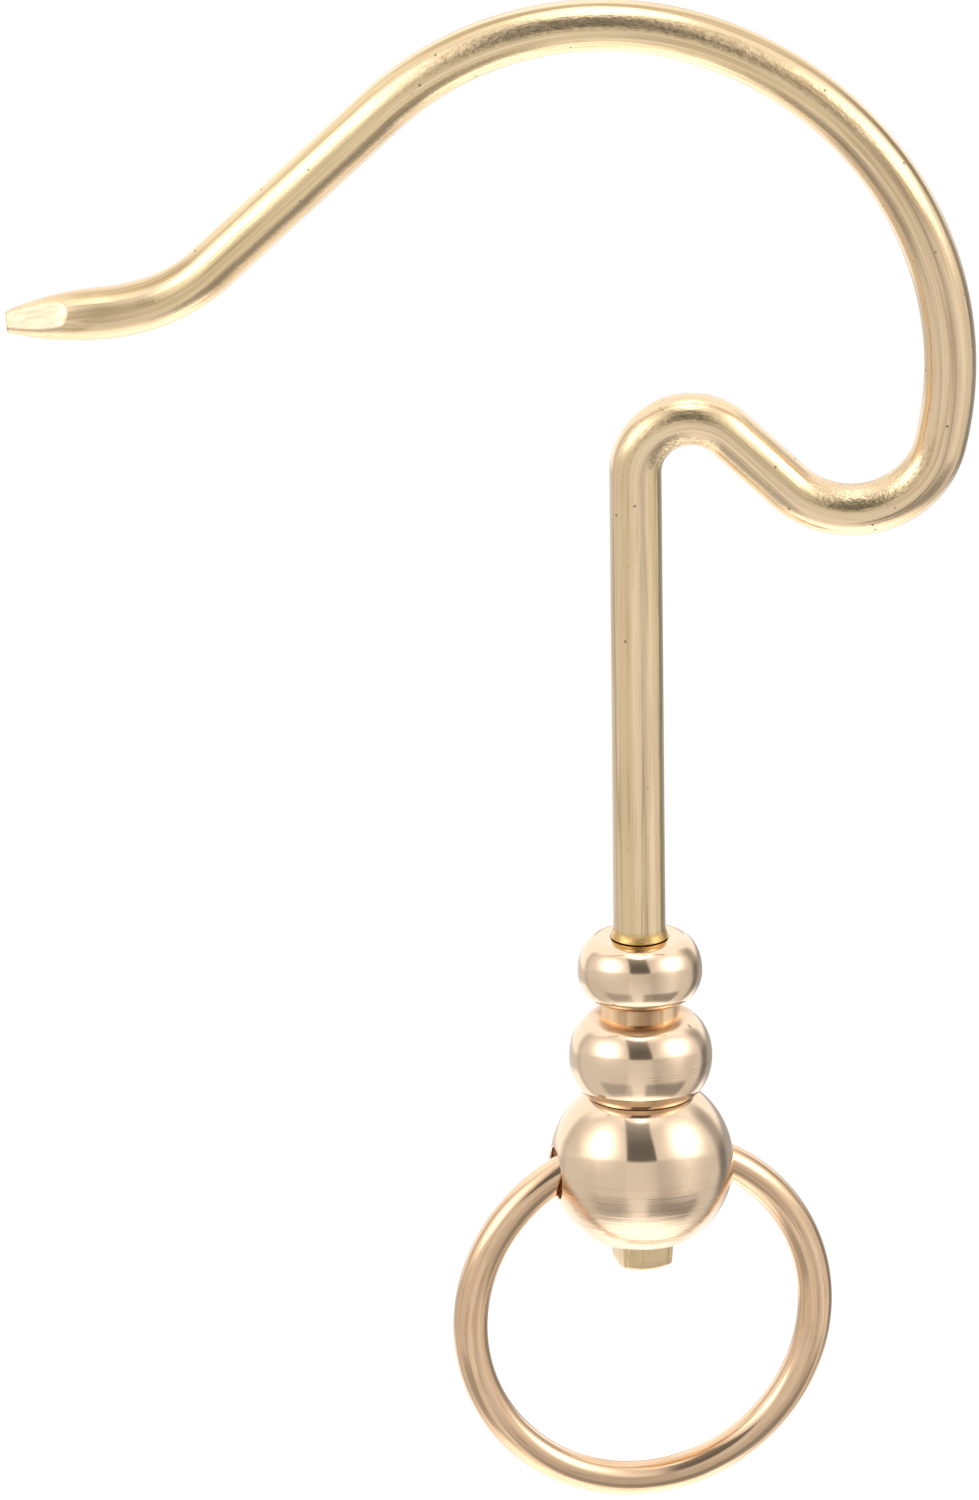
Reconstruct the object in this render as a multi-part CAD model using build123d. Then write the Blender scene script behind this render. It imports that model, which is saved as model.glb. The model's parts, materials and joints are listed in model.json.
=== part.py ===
from build123d import *
import math
import os

# Birdcage hanging hook: a bent brass rod that hangs on a rail, a turned bead collar pressed on its shaft,
# and a ball that swivels on the shaft's end and carries the ring for the cage. Millimetres, +Z up.
# The origin is the rail seat: the underside of the arch, in line with the shaft. The hook lies in the XZ
# plane, with its point towards -X.

os.makedirs("parts", exist_ok=True)

# Rod, bent from one length: the bends in order from the shaft up, with radii on the centreline
rod_diameter = 5.0
shaft_length = 47.525  # straight, from the top of the collar to the neck bend
neck_radius = 5.3
neck_angle = 134.0
throat_length = 7.8
heel_radius = 8.7
heel_angle = 120.2
arch_radius = 34.5
arch_angle = 86.2
shoulder_radius = 30.0
shoulder_angle = 61.3
arm_length = 22.8
toe_radius = 15.5
toe_angle = 27.9
lip_radius = 20.2
lip_angle = 12.0

# Point: a rounded taper with four flats, one of them rolled up from the front
point_length = 9.5
point_end_diameter = 2.03
point_flats = 4
flat_length = 5.5
flat_end_width = 1.5  # across opposite flats, at the point's end
flat_start_width = 3.88  # and where the flats begin
flat_step_angle = 40.0  # rise of the short step at the start of each flat
point_roll_angle = 26.0

# Square head squeezed on the rod's lower end
head_spread = 0.1  # how much wider than the rod
head_height = 3.5
head_corner = 0.55
head_taper_angle = 3.0
head_dome = 7.0
head_twist_angle = 16.0

# Flare upset on the rod, just above the collar
flare_diameter = 5.6
flare_height = 0.85
flare_gap = 0.12  # between the flare and the collar's top
flare_sink = 0.05  # how far the flare's upper end goes into the rod

# Collar, turned in one piece: a lower bead cut flat at its foot, a neck and an upper bead, each bead's
# outline a half ellipse that stands on a core
lower_bead_diameter = 13.8
lower_bead_core = 8.2
lower_bead_rise = 4.05  # from the widest place to the top
foot_diameter = 10.5
collar_neck_diameter = 7.3
collar_neck_height = 1.15
upper_bead_diameter = 12.0
upper_bead_core = 7.7
upper_bead_rise = 3.3  # from the widest place to either end
mouth_diameter = 5.7
mouth_depth = 0.35

# Ball with flat ends, loose on the rod
ball_diameter = 17.7
ball_height = 14.2  # from flat to flat
bore_clearance = 0.05  # radial, ball on rod
foot_clearance = 0.1  # between the ball and the collar's foot
head_clearance = 0.1  # between the ball and the square head

# Ring of round wire, its ends sprung into the ball
ring_radius = 17.0  # to the middle of the wire
ring_wire = 3.3
ring_grip = 2.35  # length of each end inside the ball
ring_end_gap = 0.9  # from a wire end's middle to the floor of its hole
ring_play = 0.05  # radial, added to what the slanting wire needs
hole_drop = 0.4  # the ring's holes lie this far below the ball's middle
ring_yaw_angle = 13.0  # the ring's plane, turned about the shaft

rod_radius = rod_diameter / 2
ball_radius = ball_diameter / 2

# Heights, counted from the ball's centre
ball_top = ball_height / 2
foot_bottom = ball_top + foot_clearance
foot_cosine = (foot_diameter - lower_bead_core) / (lower_bead_diameter - lower_bead_core)
foot_angle = math.degrees(math.acos(foot_cosine))
lower_bead_middle = foot_bottom + lower_bead_rise * math.sin(math.radians(foot_angle))
lower_bead_top = lower_bead_middle + lower_bead_rise
upper_bead_bottom = lower_bead_top + collar_neck_height
upper_bead_middle = upper_bead_bottom + upper_bead_rise
collar_top = upper_bead_middle + upper_bead_rise
head_top = -ball_top - head_clearance


def revolved(outline):
    # closed outline of radius and height, turned about the shaft
    return revolve(Plane.XZ * make_face(outline), Axis.Z)


# Rod: the centreline is walked from the head, up the shaft and round the bends to the point
shaft = Line((0, head_top), (0, collar_top + shaft_length))
neck = JernArc(shaft @ 1, shaft % 1, neck_radius, -neck_angle)
throat = Line(neck @ 1, neck @ 1 + (neck % 1) * throat_length)
heel = JernArc(throat @ 1, throat % 1, heel_radius, heel_angle)
arch = JernArc(heel @ 1, heel % 1, arch_radius, arch_angle)
shoulder = JernArc(arch @ 1, arch % 1, shoulder_radius, shoulder_angle)
arm = Line(shoulder @ 1, shoulder @ 1 + (shoulder % 1) * arm_length)
toe = JernArc(arm @ 1, arm % 1, toe_radius, -toe_angle)
lip = JernArc(toe @ 1, toe % 1, lip_radius, -lip_angle)
centreline = Curve() + [shaft, neck, throat, heel, arch, shoulder, arm, toe, lip]
bent_rod = Plane.XZ * sweep(Plane(shaft @ 0, z_dir=shaft % 0) * Circle(rod_radius), path=centreline)

# The point goes on the end of the lip: an arc that leaves the rod smoothly, turned about the rod's line, and
# flats that each begin with a short step
lip_end = Plane.XZ.from_local_coords(lip @ 1)
lip_way = Plane.XZ.from_local_coords(lip % 1)
point_plane = Plane(lip_end, x_dir=(0, -1, 0), z_dir=lip_way)
point_end_radius = point_end_diameter / 2
point_fall = rod_radius - point_end_radius
point_bow = (point_length**2 + point_fall**2) / (2 * point_fall)
point_middle = math.sqrt(point_bow**2 - (point_length / 2) ** 2) - point_bow + rod_radius
point_outline = [
    Line((0, 0), (rod_radius, 0)),
    ThreePointArc((rod_radius, 0), (point_middle, point_length / 2), (point_end_radius, point_length)),
    Line((point_end_radius, point_length), (0, point_length)),
    Line((0, point_length), (0, 0)),
]
flat_start = point_length - flat_length
flat_slope = (flat_start_width - flat_end_width) / 2 / flat_length
past_end = rod_radius
step_run = rod_radius / math.tan(math.radians(flat_step_angle))
flat_cut = Polyline(
    (flat_start_width / 2, flat_start),
    (flat_end_width / 2 - flat_slope * past_end, point_length + past_end),
    (rod_diameter, point_length + past_end),
    (flat_start_width / 2 + rod_radius, flat_start - step_run),
    close=True,
)
flat_tool = extrude(Plane.XZ * make_face(flat_cut), rod_diameter, both=True)
bent_rod = bent_rod + point_plane * revolved(point_outline)
for flat in range(point_flats):
    bent_rod = bent_rod - point_plane * Rot(0, 0, point_roll_angle + flat * 360 / point_flats) * flat_tool

# The head hangs below the ball, tapers downwards and has a domed end
head_width = rod_diameter + head_spread
head_square = Rot(0, 0, head_twist_angle) * RectangleRounded(head_width, head_width, head_corner)
head = Pos(0, 0, head_top) * extrude(head_square, head_height, dir=(0, 0, -1), taper=head_taper_angle)
head_ball = Pos(0, 0, head_top - head_height + head_dome) * Sphere(head_dome)
flare_run = flare_height * (flare_diameter / 2 - rod_radius + flare_sink) / (flare_diameter / 2 - rod_radius)
flare = Pos(0, 0, collar_top + flare_gap) * Cone(
    flare_diameter / 2, rod_radius - flare_sink, flare_run, align=(Align.CENTER, Align.CENTER, Align.MIN)
)
hook_rod = bent_rod + (head & head_ball) + flare

# Collar: the outline goes up the beads from the foot, over the mouth's bevel and back down the bore
lower_bead = EllipticalCenterArc(
    (lower_bead_core / 2, lower_bead_middle),
    (lower_bead_diameter - lower_bead_core) / 2,
    lower_bead_rise,
    start_angle=-foot_angle,
    arc_size=90 + foot_angle,
)
upper_bead = EllipticalCenterArc(
    (upper_bead_core / 2, upper_bead_middle),
    (upper_bead_diameter - upper_bead_core) / 2,
    upper_bead_rise,
    start_angle=-90,
    arc_size=180,
)
neck_foot = (collar_neck_diameter / 2, lower_bead_top)
neck_head = (collar_neck_diameter / 2, upper_bead_bottom)
mouth = (mouth_diameter / 2, collar_top)
mouth_floor = (rod_radius, collar_top - mouth_depth)
bore_foot = (rod_radius, foot_bottom)
collar_outline = [
    Line(bore_foot, lower_bead @ 0),
    lower_bead,
    Line(lower_bead @ 1, neck_foot),
    Line(neck_foot, neck_head),
    Line(neck_head, upper_bead @ 0),
    upper_bead,
    Line(upper_bead @ 1, mouth),
    Line(mouth, mouth_floor),
    Line(mouth_floor, bore_foot),
]
bead_collar = revolved(collar_outline)

# Ball: a sphere cut flat above and below, bored for the rod
bore_radius = rod_radius + bore_clearance
flat_radius = math.sqrt(ball_radius**2 - ball_top**2)
ball_outline = [
    Line((bore_radius, -ball_top), (flat_radius, -ball_top)),
    ThreePointArc((flat_radius, -ball_top), (ball_radius, 0), (flat_radius, ball_top)),
    Line((flat_radius, ball_top), (bore_radius, ball_top)),
    Line((bore_radius, ball_top), (bore_radius, -ball_top)),
]
swivel_ball = revolved(ball_outline)

# Ring: a slanting wire in a straight hole. Its inner end reaches highest and the ball's face lowest, and the
# hole's axis lies halfway between the two.
ring_end = ball_radius - ring_grip
end_slant = math.asin(ring_end / ring_radius)
face_slant = math.asin(ball_radius / ring_radius)
wire_high = ring_radius * math.cos(end_slant) + ring_wire / 2 / math.cos(end_slant)
wire_low = ring_radius * math.cos(face_slant) - ring_wire / 2 / math.cos(face_slant)
ring_drop = (wire_high + wire_low) / 2
hole_radius = (wire_high - wire_low) / 2 + ring_play
ring_plane = Plane((0, 0, -hole_drop - ring_drop), x_dir=(1, 0, 0), z_dir=(0, -1, 0))
ring_gap_half = math.degrees(end_slant)
ring_arc = CenterArc((0, 0), ring_radius, 90 + ring_gap_half, 360 - 2 * ring_gap_half)
ring_wire_face = Plane(ring_arc @ 0, z_dir=ring_arc % 0) * Circle(ring_wire / 2)
hanging_ring = Rot(0, 0, ring_yaw_angle) * (ring_plane * sweep(ring_wire_face, path=ring_arc))

# Ring holes: blind, one on each side
hole_floor = ring_end - ring_end_gap
hole = Pos(hole_floor, 0, -hole_drop) * Rot(0, 90, 0) * Cylinder(
    hole_radius, ball_diameter, align=(Align.CENTER, Align.CENTER, Align.MIN)
)
for side in (0, 180):
    swivel_ball = swivel_ball - Rot(0, 0, ring_yaw_angle + side) * hole

# The rail seat is the inner face of the bend that crosses the shaft's axis at the top
crown = arch if (arch @ 1).X < 0 else shoulder
crown_centre = crown.center_point
seat_height = crown_centre.Y + math.sqrt((crown.radius - rod_radius) ** 2 - crown_centre.X**2)
nodes = {
    "hook_rod": hook_rod,
    "bead_collar": bead_collar,
    "swivel_ball": swivel_ball,
    "hanging_ring": hanging_ring,
}
for name, solid in nodes.items():
    export_step(Pos(0, 0, -seat_height) * solid, f"parts/{name}.step")

print(f"ball centre {-seat_height:.3f}, holes {-seat_height - hole_drop:.3f}, hole radius {hole_radius:.3f}")
print(f"ring centre {-seat_height - hole_drop - ring_drop:.3f}, wire ends {ring_end:.3f} from the shaft")
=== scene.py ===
import json
import math
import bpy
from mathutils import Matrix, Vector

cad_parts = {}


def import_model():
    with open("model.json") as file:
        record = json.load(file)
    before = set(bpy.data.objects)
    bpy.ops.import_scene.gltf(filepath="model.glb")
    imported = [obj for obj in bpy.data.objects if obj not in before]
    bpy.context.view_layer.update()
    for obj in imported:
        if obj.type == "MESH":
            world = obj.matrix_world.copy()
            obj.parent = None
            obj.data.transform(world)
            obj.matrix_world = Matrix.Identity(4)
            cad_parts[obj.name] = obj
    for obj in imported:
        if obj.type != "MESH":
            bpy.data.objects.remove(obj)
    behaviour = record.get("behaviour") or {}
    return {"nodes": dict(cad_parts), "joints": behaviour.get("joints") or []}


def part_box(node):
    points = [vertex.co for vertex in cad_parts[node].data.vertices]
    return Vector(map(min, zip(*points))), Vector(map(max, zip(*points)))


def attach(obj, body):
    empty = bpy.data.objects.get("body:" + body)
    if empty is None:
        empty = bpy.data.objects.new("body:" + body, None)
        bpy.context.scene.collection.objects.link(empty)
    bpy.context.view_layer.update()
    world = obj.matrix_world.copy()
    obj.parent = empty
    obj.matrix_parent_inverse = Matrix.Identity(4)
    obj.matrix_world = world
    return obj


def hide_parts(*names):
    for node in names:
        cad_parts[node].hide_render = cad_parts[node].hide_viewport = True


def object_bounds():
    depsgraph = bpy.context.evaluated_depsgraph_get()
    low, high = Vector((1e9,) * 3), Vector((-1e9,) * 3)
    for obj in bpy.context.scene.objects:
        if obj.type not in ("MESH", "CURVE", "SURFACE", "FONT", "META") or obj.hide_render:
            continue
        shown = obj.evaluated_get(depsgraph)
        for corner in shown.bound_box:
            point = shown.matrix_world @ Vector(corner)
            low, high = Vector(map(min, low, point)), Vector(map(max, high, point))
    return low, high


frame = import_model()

from types import SimpleNamespace

import bpy
import numpy as np

cadLow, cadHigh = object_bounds()
scene = bpy.context.scene
millimetre = 0.001
fullTurn = 2 * math.pi
print("frame loaded:", ", ".join(sorted(frame["nodes"])))


# Meshes. Every piece is worked out in millimetres, in the frame's own place.

def quadsOf(grid, closeRows=False):
    # four corners of each cell of a grid of point numbers; columns join up, and rows too where asked
    grid = np.concatenate([grid, grid[:, :1]], axis=1)
    if closeRows:
        grid = np.concatenate([grid, grid[:1]], axis=0)
    return np.stack([grid[:-1, :-1], grid[:-1, 1:], grid[1:, 1:], grid[1:, :-1]], axis=-1)


def fanOf(row, pole):
    # triangles from each step of a closed row to one pole
    return np.stack([row, np.roll(row, -1), np.full(len(row), pole)], axis=-1)


def cappedTube(grid, firstPole, lastPole):
    # points and faces of a grid whose rows are closed rings, with a fan to a pole at either end
    count = grid.shape[0] * grid.shape[1]
    numbers = np.arange(count).reshape(grid.shape[:2])
    points = np.concatenate([grid.reshape(-1, 3), [firstPole, lastPole]])
    faces = [quadsOf(numbers), fanOf(numbers[0][::-1], count), fanOf(numbers[-1], count + 1)]
    return points, faces


def turnedOutward(points, faces):
    # the volumes between the origin and each face add up to more than zero when the faces point outwards
    triangles = np.concatenate([np.concatenate([f[:, [0, 1, 2]], f[:, [0, 2, -1]]]) for f in faces])
    a, b, c = (points[triangles[:, corner]] for corner in range(3))
    volume = np.einsum("ij,ij->i", a, np.cross(b, c)).sum()
    return faces if volume > 0 else [f[:, ::-1] for f in faces]


def meshOf(name, points, faces, material):
    faces = turnedOutward(points, [f.reshape(-1, f.shape[-1]) for f in faces])
    corners = np.concatenate([f.ravel() for f in faces]).astype(np.int32)
    sizes = np.concatenate([np.full(len(f), f.shape[1], np.int32) for f in faces])
    starts = np.concatenate([[0], np.cumsum(sizes)[:-1]]).astype(np.int32)
    mesh = bpy.data.meshes.new(name)
    mesh.vertices.add(len(points))
    mesh.vertices.foreach_set("co", (points * millimetre).astype(np.float32).ravel())
    mesh.loops.add(len(corners))
    mesh.loops.foreach_set("vertex_index", corners)
    mesh.polygons.add(len(sizes))
    mesh.polygons.foreach_set("loop_start", starts)
    mesh.polygons.foreach_set("use_smooth", np.ones(len(sizes), bool))
    mesh.update(calc_edges=True)
    mesh.validate()
    mesh.materials.append(material)
    made = bpy.data.objects.new(name, mesh)
    scene.collection.objects.link(made)
    print(name, "made:", len(points), "points,", int((sizes - 2).sum()), "triangles")
    return made


def makePiece(name, points, faces, body, node, slotName, material, **attributes):
    # attributes: a vector or a number for each point, kept on the mesh for the material
    piece = meshOf(name, points, faces, material)
    for key, values in attributes.items():
        kind, part = ("FLOAT_VECTOR", "vector") if values.ndim == 2 else ("FLOAT", "value")
        kept = piece.data.attributes.new(key, kind, "POINT")
        kept.data.foreach_set(part, values.astype(np.float32).ravel())
    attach(piece, body)
    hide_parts(node)


# Finishes are built from these few steps.

def nodeMaker(owner):
    owner.use_nodes = True
    tree = owner.node_tree
    tree.nodes.clear()

    def add(kind, inputs=(), **settings):
        node = tree.nodes.new(kind)
        for key, value in settings.items():
            setattr(node, key, value)
        for key, value in dict(inputs).items():
            if hasattr(value, "is_output"):
                tree.links.new(value, node.inputs[key])
            else:
                node.inputs[key].default_value = value
        return node

    def sums(operation, a, b=0.0, c=0.0):
        return add("ShaderNodeMath", {0: a, 1: b, 2: c}, operation=operation).outputs[0]

    def times(first, *others):
        for other in others:
            first = sums("MULTIPLY", first, other)
        return first

    def ramp(value, low, high, toLow=0.0, toHigh=1.0):
        # an eased step from toLow to toHigh as the value goes from low to high
        step = add("ShaderNodeMapRange", {0: value, 1: low, 2: high, 3: toLow, 4: toHigh},
                   interpolation_type="SMOOTHSTEP")
        return step.outputs[0]

    def between(value, low, high, soft):
        # 1 from low to high and 0 outside, eased over twice the softness
        return times(ramp(value, low - soft, low + soft), ramp(value, high - soft, high + soft, 1.0, 0.0))

    def noise(place, fineness, detail, roughness=0.5, scale=None):
        if scale:
            place = add("ShaderNodeMapping", {"Vector": place, "Scale": scale}).outputs[0]
        inputs = {"Vector": place, "Scale": fineness, "Detail": detail, "Roughness": roughness}
        return add("ShaderNodeTexNoise", inputs).outputs[0]

    def drawnOut(place, lengthShare, fineness, detail, roughness=0.6):
        # noise in which the length, the first of the place's numbers, counts less
        return noise(place, fineness, detail, roughness, (lengthShare, 1.0, 1.0))

    def speckled(place, fineness, share):
        # small round spots: one in each cell of a point pattern, kept where the cell's own number is high
        cells = add("ShaderNodeTexVoronoi", {"Vector": place, "Scale": fineness})
        spot = ramp(cells.outputs["Distance"], 0.05, 0.16, 1.0, 0.0)
        pick = add("ShaderNodeSeparateColor", {"Color": cells.outputs["Color"]}).outputs[0]
        return times(spot, ramp(pick, 1.0 - share, 1.0 - share + 0.02))

    def tinted(share, under, over):
        return add("ShaderNodeMix", {0: share, 6: under, 7: (*over, 1)}, data_type="RGBA").outputs[2]

    def metal(colour, rough, height, strength, metallic=1.0):
        # heights are hundredths of a millimetre
        bump = add("ShaderNodeBump", {"Height": height, "Strength": strength,
                                      "Distance": 0.01 * millimetre})
        shader = add("ShaderNodeBsdfPrincipled", {"Base Color": colour, "Metallic": metallic,
                                                  "Roughness": rough, "Normal": bump.outputs[0]})
        add("ShaderNodeOutputMaterial", {"Surface": shader.outputs[0]})

    return SimpleNamespace(add=add, sums=sums, times=times, ramp=ramp, between=between, noise=noise,
                           drawnOut=drawnOut, speckled=speckled, tinted=tinted, metal=metal)


# Places shared by the pieces, from the frame: the ball's middle, and the line through the ring's holes
ballLow, ballHigh = (np.array(corner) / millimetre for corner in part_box("swivel_ball"))
ballCentre = np.array([0.0, 0.0, (ballLow[2] + ballHigh[2]) / 2])
ringJoint = next(joint for joint in frame["joints"] if joint["name"] == "ring_swing")
holeWay = np.array(ringJoint["axis"], float)
holeWay = holeWay / np.linalg.norm(holeWay)
sideWay = np.array([-holeWay[1], holeWay[0], 0.0])
upWay = np.array([0.0, 0.0, 1.0])
holeCentre = np.array([0.0, 0.0, ringJoint["pos_m"][2] / millimetre])


# Rod: its runs in order from the head up. A straight one has a length, a bend a radius and a turn in
# degrees.
rod = dict(
    radius=2.5,
    shaft=77.418,  # from the square head to the neck bend
    neckRadius=5.3, neckTurn=-134.0,
    throat=7.8,
    heelRadius=8.7, heelTurn=120.2,
    archRadius=34.5, archTurn=86.2,
    shoulderRadius=30.0, shoulderTurn=61.3,
    arm=22.8,
    toeRadius=15.5, toeTurn=-26.4,
    lipRadius=20.2, lipTurn=-12.5,
    pointLength=9.15, pointEnd=1.015, endBevel=0.16,
    # one flat in front and one behind, by their distances from the rod's axis
    flats=2, flatLength=5.3, flatEnd=0.77, flatStart=1.86, flatStep=40.0, flatRoll=26.0,
    edgeSoftness=0.035, stepSoftness=0.12,
    groundDepth=0.1,  # cut this far below the round, a place counts as fully ground
    headHalf=2.55, headCorner=0.55, headHeight=3.5, headTaper=3.0, headDome=7.0,
    headTwist=16.0, headEdge=0.03, headGap=0.1,
    flareRadius=2.8, flareHeight=0.85, flareSoftness=0.03, flareEdge=0.06,
    flareAt=30.28, flareEnd=3.0,  # up the shaft from the head, and above that
    columns=96, pointRows=96, shaftRows=(24, 40),  # below and above the flare
    clearBelow=0.5, clearAbove=2.5, clearOfBend=0.8,  # left free by the shaft's rows
    bendRows=dict(neck=72, throat=8, heel=60, arch=110,
                  shoulder=76, arm=24, toe=30, lip=24),
    flareRows=(-0.01, 0.0, 0.03, 0.1, 0.2, 0.35, 0.5, 0.65, 0.8, 0.9, 1.0, 1.2, 1.5),  # above flareAt
    # shares of the way out over the head's dome and up its sides
    domeRows=(0.3, 0.6, 0.8, 0.9, 0.96), sideRows=(0.03, 0.08, 0.3, 0.6, 0.92, 0.98),
)

drawnLook = dict(
    tint=(0.77, 0.585, 0.382),
    bandTint=(0.745, 0.572, 0.34),
    brightTint=(0.87, 0.69, 0.48),
    streakTint=(0.50, 0.36, 0.18),
    # tint of the lines, also used for the painted shade on the arch and at the arch's and the lip's upper
    # edges
    lineAndShadeTint=(0.40, 0.285, 0.15),
    # tint of the grain, which is also the painted shade band over the grain on the bends
    grainShadeTint=(0.33, 0.245, 0.135),
    speckTint=(0.12, 0.085, 0.05),
    mouthTint=(0.62, 0.40, 0.15),
    headTint=(0.86, 0.65, 0.38),
    groundTint=(0.93, 0.775, 0.57),
    roughness=0.12, satin=0.2,
    # patterns: how much the length counts (a small number draws them out), fineness, detail
    bands=(0.02, 0.55, 1.0), streaks=(0.03, 2.6, 4.0), bright=(0.015, 1.3, 2.0),
    waves=(1.0, 0.16, 1.0), grain=(0.6, 4.0, 3.0), coarse=(0.55, 3.2, 3.0),
    broadLines=(0.008, 0.8, 1.5), fineLines=(0.012, 1.9, 1.5), fades=(0.15, 0.5, 1.0),
    pits=(0.8, 0.2),  # fineness, share of the places that have one
    # stretches of the rod's length: from, to, softness of the ends
    # the grain's stretches and stripes below also place a painted shade band on the bends
    neckGrainShade=(79.5, 88.0, 2.5), heelGrainShade=(99.0, 117.0, 3.0), archGrainShade=(146.0, 195.0, 9.0),
    neckFold=(79.5, 88.5, 2.0), heelFold=(99.0, 113.0, 2.5), archShadeStretch=(138.0, 163.0, 8.0),
    archLine=(130.0, 196.0, 6.0), lipLine=(223.0, 238.0, 2.5), satinLip=(224.0, 234.0),
    # stripes across the rod, in the same way
    lowGrainShadeStripe=(0.6, 1.5, 0.25), archGrainShadeStripe=(0.4, 1.75, 0.3),
    archShadeStripes=((-1.45, -0.55, 0.25), (0.85, 1.45, 0.25)),
    archEdge=(1.62, 2.05, 0.15), lipEdge=(1.4, 2.1, 0.25),
    edgeLean=20.0,  # the two painted shade lines at the edges lie this far behind the rod's top, in degrees
    # heights, in hundredths of a millimetre
    streakRelief=1.5, lineRelief=-1.0, grainRelief=1.2, waveRelief=12.0,
    coarseRelief=4.0, foldRelief=22.0,
)


def drawnBrass():
    # drawn rod: broad bands, streaks and fine lines along its length, coarse grain on the outer side of
    # the bends under a painted shade band, wrinkles on the inner side of the tight ones, small dark pits,
    # pale ground flats, painted shade in stripes along the arch and in lines at the arch's and the lip's
    # upper edge
    material = bpy.data.materials.new("drawnBrass")
    look, make = drawnLook, nodeMaker(material)
    add, sums, times = make.add, make.sums, make.times
    ramp, between, tinted = make.ramp, make.between, make.tinted
    along = add("ShaderNodeAttribute", attribute_name="along").outputs["Vector"]
    ground = add("ShaderNodeAttribute", attribute_name="ground").outputs["Fac"]
    # the section's height runs to the inner side on the arch and to the outer side on the bends below it
    length, front, up = add("ShaderNodeSeparateXYZ", {"Vector": along}).outputs
    down = times(up, -1.0)

    def pattern(name):
        return make.drawnOut(along, *look[name])

    def linesOf(field, width, share):
        # thin lines where the field passes its middle value
        return ramp(sums("ABSOLUTE", sums("SUBTRACT", field, 0.5)), 0.0, width, share, 0.0)

    def onLength(name):
        return between(length, *look[name])

    streaks, coarse = pattern("streaks"), pattern("coarse")
    broad = linesOf(pattern("broadLines"), 0.03, 0.55)
    fine = linesOf(pattern("fineLines"), 0.028, 0.35)
    lines = times(sums("MAXIMUM", broad, fine), ramp(pattern("fades"), 0.38, 0.6, 0.25, 1.0))
    pits = make.speckled(along, *look["pits"])
    lowBends = sums("ADD", onLength("neckGrainShade"), onLength("heelGrainShade"))
    lowGrainShade = times(between(up, *look["lowGrainShadeStripe"]), lowBends, 0.8)
    archGrainShade = times(between(down, *look["archGrainShadeStripe"]), onLength("archGrainShade"))
    grainAndShade = sums("MAXIMUM", lowGrainShade, archGrainShade)
    folded = sums("MAXIMUM", times(ramp(down, 0.6, 1.9), onLength("neckFold")),
                  times(ramp(up, 0.9, 2.1, 0.0, 0.5), onLength("heelFold")))
    mottledAndShaded = sums("MAXIMUM", grainAndShade, times(folded, 0.7))
    # the squeezed head lies below the start of the rod's length
    onHead = ramp(length, -0.3, 0.1, 1.0, 0.0)

    colour = tinted(ramp(pattern("bands"), 0.42, 0.58), (*look["tint"], 1), look["bandTint"])
    colour = tinted(ramp(pattern("bright"), 0.55, 0.72, 0.0, 0.7), colour, look["brightTint"])
    colour = tinted(times(onHead, 0.8), colour, look["headTint"])
    colour = tinted(ramp(streaks, 0.46, 0.75, 0.0, 0.45), colour, look["streakTint"])
    colour = tinted(lines, colour, look["lineAndShadeTint"])
    # painted shade: the grain on the bends is darkened in the band between the highlight and the tan
    colour = tinted(times(mottledAndShaded, ramp(coarse, 0.40, 0.62, 0.12, 0.62)), colour, look["grainShadeTint"])
    colour = tinted(times(pits, 0.8), colour, look["speckTint"])
    # painted shade drawn out along the side of the arch, in two stripes
    archShade = sums("MAXIMUM", *(between(up, *stripe) for stripe in look["archShadeStripes"]))
    archShade = times(archShade, onLength("archShadeStretch"), ramp(streaks, 0.42, 0.6, 0.3, 0.8))
    colour = tinted(archShade, colour, look["lineAndShadeTint"])
    colour = tinted(times(ground, ramp(streaks, 0.35, 0.65, 0.95, 0.6)), colour, look["groundTint"])
    # painted shade: brown lines along the arch and the lip, near the upper edge as the camera sees it
    lean = math.radians(look["edgeLean"])
    edgeHeight = sums("MULTIPLY_ADD", down, math.cos(lean), times(front, -math.sin(lean)))
    uneven = ramp(streaks, 0.35, 0.6, 0.6, 0.95)
    for edge, stretch in (("archEdge", "archLine"), ("lipEdge", "lipLine")):
        edgeShade = times(between(edgeHeight, *look[edge]), onLength(stretch), uneven)
        colour = tinted(edgeShade, colour, look["lineAndShadeTint"])
    # warmer in the collar's mouth
    mouth = rod["flareAt"]
    inMouth = times(ramp(length, mouth - 0.5, mouth), ramp(length, mouth + 0.5, mouth + 1.3, 1.0, 0.0))
    colour = tinted(inMouth, colour, look["mouthTint"])

    # satin on the lip, the head and the flats, and where the grain is coarse
    rough = sums("ADD", ramp(streaks, 0.3, 0.8, 0.0, 0.12), look["roughness"])
    rough = sums("ADD", rough, ramp(length, *look["satinLip"], 0.0, look["satin"]))
    rough = sums("MULTIPLY_ADD", sums("MAXIMUM", pits, onHead), look["satin"], rough)
    rough = sums("MULTIPLY_ADD", mottledAndShaded, 0.1, sums("MULTIPLY_ADD", ground, 0.16, rough))
    height = sums("MULTIPLY_ADD", streaks, look["streakRelief"], times(lines, look["lineRelief"]))
    height = sums("MULTIPLY_ADD", pattern("waves"), look["waveRelief"], height)
    height = sums("MULTIPLY_ADD", pattern("grain"), look["grainRelief"], height)
    bent = sums("MULTIPLY_ADD", grainAndShade, look["coarseRelief"], times(folded, look["foldRelief"]))
    height = sums("MULTIPLY_ADD", coarse, bent, height)
    make.metal(colour, rough, height, 1.0)
    return material


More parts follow.
